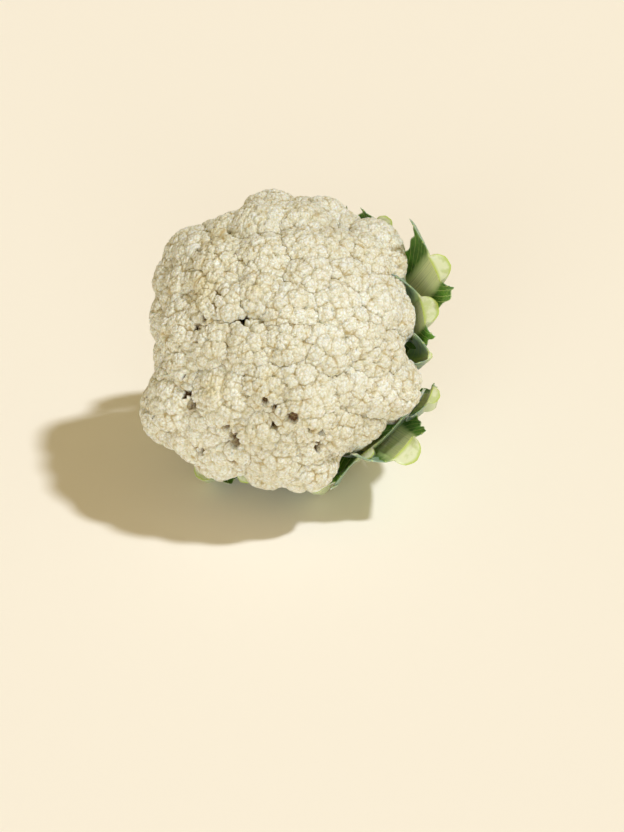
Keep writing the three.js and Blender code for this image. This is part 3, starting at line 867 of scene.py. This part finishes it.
curdLook = {
    "patches": 22,             # cream patches of about 45 mm
    "shade": [0.34, "#dfe1d8"],
    "cream": [0.6, "#ebeee7"],
    # The crease rows' ochre is partly the curd's own tint, partly painted shade where knobs meet.
    # field, tint, where it begins and is full, and how strong it is: in mm from a crease
    "creases": [
        ["yellow", "#ddcf97", 0.1, 1.0, 0.4],
        ["grainCrease", "#cfc59b", 0.45, 0.0, 0.42],
        ["knobCrease", "#c6b579", 0.5, 0.0, 0.5],
        ["lobeCrease", "#cec28f", 1.8, 0.2, 0.35],
    ],
    # The broken lines are partly the curd's own ochre, partly painted shade in the creases.
    "line": ["#a98c47", 0.75, 0.1, 0.75],  # broken ochre lines in the widest creases,
    "breaks": 150,             # in pieces of about 7 mm
    # The cleft and corner rows are partly the curd's own ochre and brown, partly painted shade in
    # the clefts and holes; the stalk row is its own colour.
    "depthTintsAndShade": [
        ["cleft", "#a98b45", 0.2, 0.9, 0.75],
        ["corner", "#63400f", 0.3, 0.75, 0.97],
        ["stalk", "#e4e2bf", 0.0, 1.0],
    ],
    "buds": 600,               # clusters of flower buds, drawn 1.7 mm wide so that they show
    # Ochre in the gaps between the buds: partly their own tint, partly painted shade.
    "budGapTintAndShade": ["#bcad78", 0.5, 0.85, 0.5],
    "budHeight": 0.0008,       # m
    "surface": {"Roughness": 0.62, "Subsurface Weight": 0.4,
                "Subsurface Radius": (1.0, 0.8, 0.5), "Subsurface Scale": 0.002},
}


def curdMaterial():
    # Cauliflower curd: packed flower buds. Matt and a little translucent, cream on the knobs and
    # ochre where they meet, brown down in the clefts; the ochre and brown are partly the curd's own
    # tint and partly painted shade.
    material, tree, shader = newMaterial("cauliflower_curd")
    look = curdLook
    place, last = tones(tree, look["patches"], 4, look["shade"], look["cream"])
    # Yellow patches, then ochre towards the creases: partly own tint, partly painted shade.
    last = tintByFields(tree, last, look["creases"])
    patches = addNode(tree, "ShaderNodeTexNoise", {"Vector": (place, "Object")},
                      Scale=look["breaks"], Detail=3)
    shown = addNode(tree, "ShaderNodeMapRange", {"Value": (patches, "Fac")},
                    From_Min=0.6, From_Max=0.42, To_Min=0.0, To_Max=0.7)
    crease = addNode(tree, "ShaderNodeMath", {0: "lobeCrease", 1: (shown, "Result")},
                     operation="ADD")
    # Broken ochre lines along the widest creases: partly own tint, partly painted shade.
    line, *limits = look["line"]
    last = mixInto(tree, last, line, (crease, "Value"), *limits)
    # Ochre down in the clefts and dark brown in the holes: partly own tint, partly painted shade.
    last = tintByFields(tree, last, look["depthTintsAndShade"])
    buds = addNode(tree, "ShaderNodeTexVoronoi", {"Vector": (place, "Object")}, Scale=look["buds"])
    # Ochre in the gaps between the buds: partly their own tint, partly painted shade.
    budGapTintAndShade, *limits = look["budGapTintAndShade"]
    last = mixInto(tree, last, budGapTintAndShade, (buds, "Distance"), *limits)
    bump = addNode(tree, "ShaderNodeBump", {"Height": (buds, "Distance")}, invert=True,
                   Strength=0.8, Distance=look["budHeight"])
    linkInputs(tree, shader, {"Base Color": last, "Normal": (bump, "Normal")})
    setInputs(shader, look["surface"])
    return material


leafLook = {
    "mottle": 110,             # patches of about 9 mm
    "dark": [0.35, "#34590f"],
    "green": [0.65, "#55802a"],
    "net": 320,                # fields of 3 mm between the finest veins
    "netTint": "#7b9a45",
    "bloom": "#8fa394",        # wax on the outside
    "vein": "#b4c07c",
    # Paler inner face of the midrib: its pale flesh, and painted light where light shines through.
    "fleshInsideWithPaintedLight": "#e9edb4",
    "fleshOutside": "#cdd6b0",
    "fibre": "#a3b478",        # along the midrib,
    "fibres": 6,               # this many to a half of it,
    "ribSide": "#9cb06e",      # and at its sides
    "edge": "#dde3cc",
    "cutRim": "#adbf45",
    "cutMiddle": "#d9deba",
    "wet": [190, "#b5c274"],   # patches of about 5 mm on the cut
    "surface": {"Subsurface Weight": 0.4, "Subsurface Radius": (0.8, 1.0, 0.35),
                "Subsurface Scale": 0.003},
}


def leafMaterial():
    # Brassica leaf: dark green inside, with a blue-grey waxy bloom outside, pale veins and edge,
    # and a thick juicy midrib that is pale, wet where it is cut and greener under its skin. Its
    # inner
    # face is painted paler still: painted light where light shines through the midrib.
    material, tree, shader = newMaterial("brassica_leaf")
    look = leafLook
    place, last = tones(tree, look["mottle"], 5, look["dark"], look["green"])
    net = addNode(tree, "ShaderNodeTexVoronoi", {"Vector": (place, "Object")},
                  feature="DISTANCE_TO_EDGE", Scale=look["net"])
    last = mixInto(tree, last, look["netTint"], (net, "Distance"), 0.08, 0.0, 0.45)
    last = mixInto(tree, last, look["bloom"], "outside", 0.3, 0.7, 0.88)
    vein = addNode(tree, "ShaderNodeMath", {0: "veinPlace"}, operation="PINGPONG")
    setInputs(vein, {1: 0.5})
    blade = mixInto(tree, last, look["vein"], (vein, "Value"), 0.07, 0.02, 0.8)
    wing = addNode(tree, "ShaderNodeMath", {0: "wing"}, operation="ABSOLUTE")
    skin = addNode(tree, "ShaderNodeMapRange", {"Value": "outside"})
    flesh = addNode(tree, "ShaderNodeMix", {"Factor": (skin, "Result")}, data_type="RGBA")
    # The inner face's flesh colour carries painted light for light that shines through the midrib.
    setInputs(flesh, {6: toLinear(look["fleshInsideWithPaintedLight"]), 7: toLinear(look["fleshOutside"])})
    across = addNode(tree, "ShaderNodeMath", {0: "rib"}, operation="MULTIPLY")
    setInputs(across, {1: look["fibres"]})
    fibres = addNode(tree, "ShaderNodeCombineXYZ", {"X": (across, "Value"), "Y": "share"})
    streaks = addNode(tree, "ShaderNodeTexNoise", {"Vector": (fibres, "Vector")},
                      Scale=2.2, Detail=5)
    last = mixInto(tree, (flesh, 2), look["fibre"], (streaks, "Fac"), 0.46, 0.7, 0.6)
    side = addNode(tree, "ShaderNodeMath", {0: "rib"}, operation="ABSOLUTE")
    flesh = mixInto(tree, last, look["ribSide"], (side, "Value"), 0.75, 1.0, 0.45)
    onRib = addNode(tree, "ShaderNodeMapRange", {"Value": (wing, "Value")},
                    From_Min=0.26, From_Max=0.0)
    ribbed = addNode(tree, "ShaderNodeMix", {"Factor": (onRib, "Result"), 6: blade, 7: flesh},
                     data_type="RGBA")
    last = mixInto(tree, (ribbed, 2), look["edge"], (wing, "Value"), 0.95, 1.0, 0.85)
    last = mixInto(tree, last, look["cutRim"], "cut", 0.3, 0.6)
    last = mixInto(tree, last, look["cutMiddle"], "cutDepth", 0.03, 0.45)
    wetScale, wetTint = look["wet"]
    wet = addNode(tree, "ShaderNodeTexNoise", {"Vector": (place, "Object")},
                  Scale=wetScale, Detail=3)
    wetCut = addNode(tree, "ShaderNodeMath", {0: (wet, "Fac"), 1: "cut"}, operation="MULTIPLY")
    last = mixInto(tree, last, wetTint, (wetCut, "Value"), 0.48, 0.62, 0.6)
    gloss = addNode(tree, "ShaderNodeMapRange", {"Value": "cut"},
                    From_Min=0.2, From_Max=0.8, To_Min=0.46, To_Max=0.3)
    pits = addNode(tree, "ShaderNodeBump", {"Height": (net, "Distance")},
                   Strength=0.25, Distance=0.0005)
    linkInputs(tree, shader, {
        "Base Color": last, "Roughness": (gloss, "Result"), "Normal": (pits, "Normal")})
    setInputs(shader, look["surface"])
    return material


def stemMaterial():
    # Cut cauliflower stalk: a dense, pale flesh inside a tougher green-white skin.
    material, tree, shader = newMaterial("cut_stalk")
    last = tones(tree, 120, 4, [0, "#b9c58a"], [1, "#dbe1bd"])[1]  # patches of about 8 mm
    last = mixInto(tree, last, "#ece9cf", "cut", 0.3, 0.9)
    linkInputs(tree, shader, {"Base Color": last})
    setInputs(shader, {"Roughness": 0.5})
    return material


studio = {
    "floor": "#fbf5e8",
    "daylight": 2.3,           # W/m2
    "daylightColour": "#f0f5ff",
    "elevation": 58,           # degrees
    "azimuth": -2,             # degrees from the right towards the back
    "softness": 5,             # degrees that the light spreads over
    "front": 2.8,              # a very wide, low light from the front
    "frontColour": "#eef2f8",
    "frontPlace": [60, 4, -96],  # its spread, elevation and azimuth, degrees
    "round": 0.34,
    "roundColour": "#ffdf88",
}


def makeFloor():
    # A wide pale sheet under the head.
    mesh = bpy.data.meshes.new("floor")
    size = 6.0
    mesh.from_pydata([(-size, -size, 0), (size, -size, 0), (size, size, 0), (-size, size, 0)], [],
                     [(0, 1, 2, 3)])
    floor = bpy.data.objects.new("floor", mesh)
    bpy.context.collection.objects.link(floor)
    material, _, shader = newMaterial("paper_floor")
    setInputs(shader, {"Base Color": toLinear(studio["floor"]), "Roughness": 0.9})
    mesh.materials.append(material)


def makeLights():
    # Daylight from the right, high and a little soft, a wide card in front, and warm light from all
    # round.
    for name, power, colour, softness, elevation, azimuth in (
            ("daylight", studio["daylight"], studio["daylightColour"], studio["softness"],
             studio["elevation"], studio["azimuth"]),
            ("front_card", studio["front"], studio["frontColour"], *studio["frontPlace"])):
        sun = bpy.data.lights.new(name, "SUN")
        sun.energy = power
        sun.angle = math.radians(softness)
        sun.color = toLinear(colour)[:3]
        light = bpy.data.objects.new(name, sun)
        light.rotation_euler = (0, math.radians(90 - elevation), math.radians(azimuth))
        bpy.context.collection.objects.link(light)
    world = bpy.data.worlds.new("studio")
    world.use_nodes = True
    background = world.node_tree.nodes["Background"]
    setInputs(background, {"Color": toLinear(studio["roundColour"]), "Strength": studio["round"]})
    bpy.context.scene.world = world
    bpy.context.scene.view_settings.view_transform = "Standard"


makeFloor()
makeLights()
print("floor and lights made")

curdFinish = curdMaterial()
print("curd made:", makeCurd(curdFinish), "triangles")
makeCore(curdFinish)
print("core made")
makeStem(stemMaterial())
print("stem made")
leafFinish = leafMaterial()
print("leaves made:", sum(
    makeLeaf(number, dict(zip(leafHeadings, row)), leafFinish)
    for number, row in enumerate(leafPlaces, 1)), "triangles")
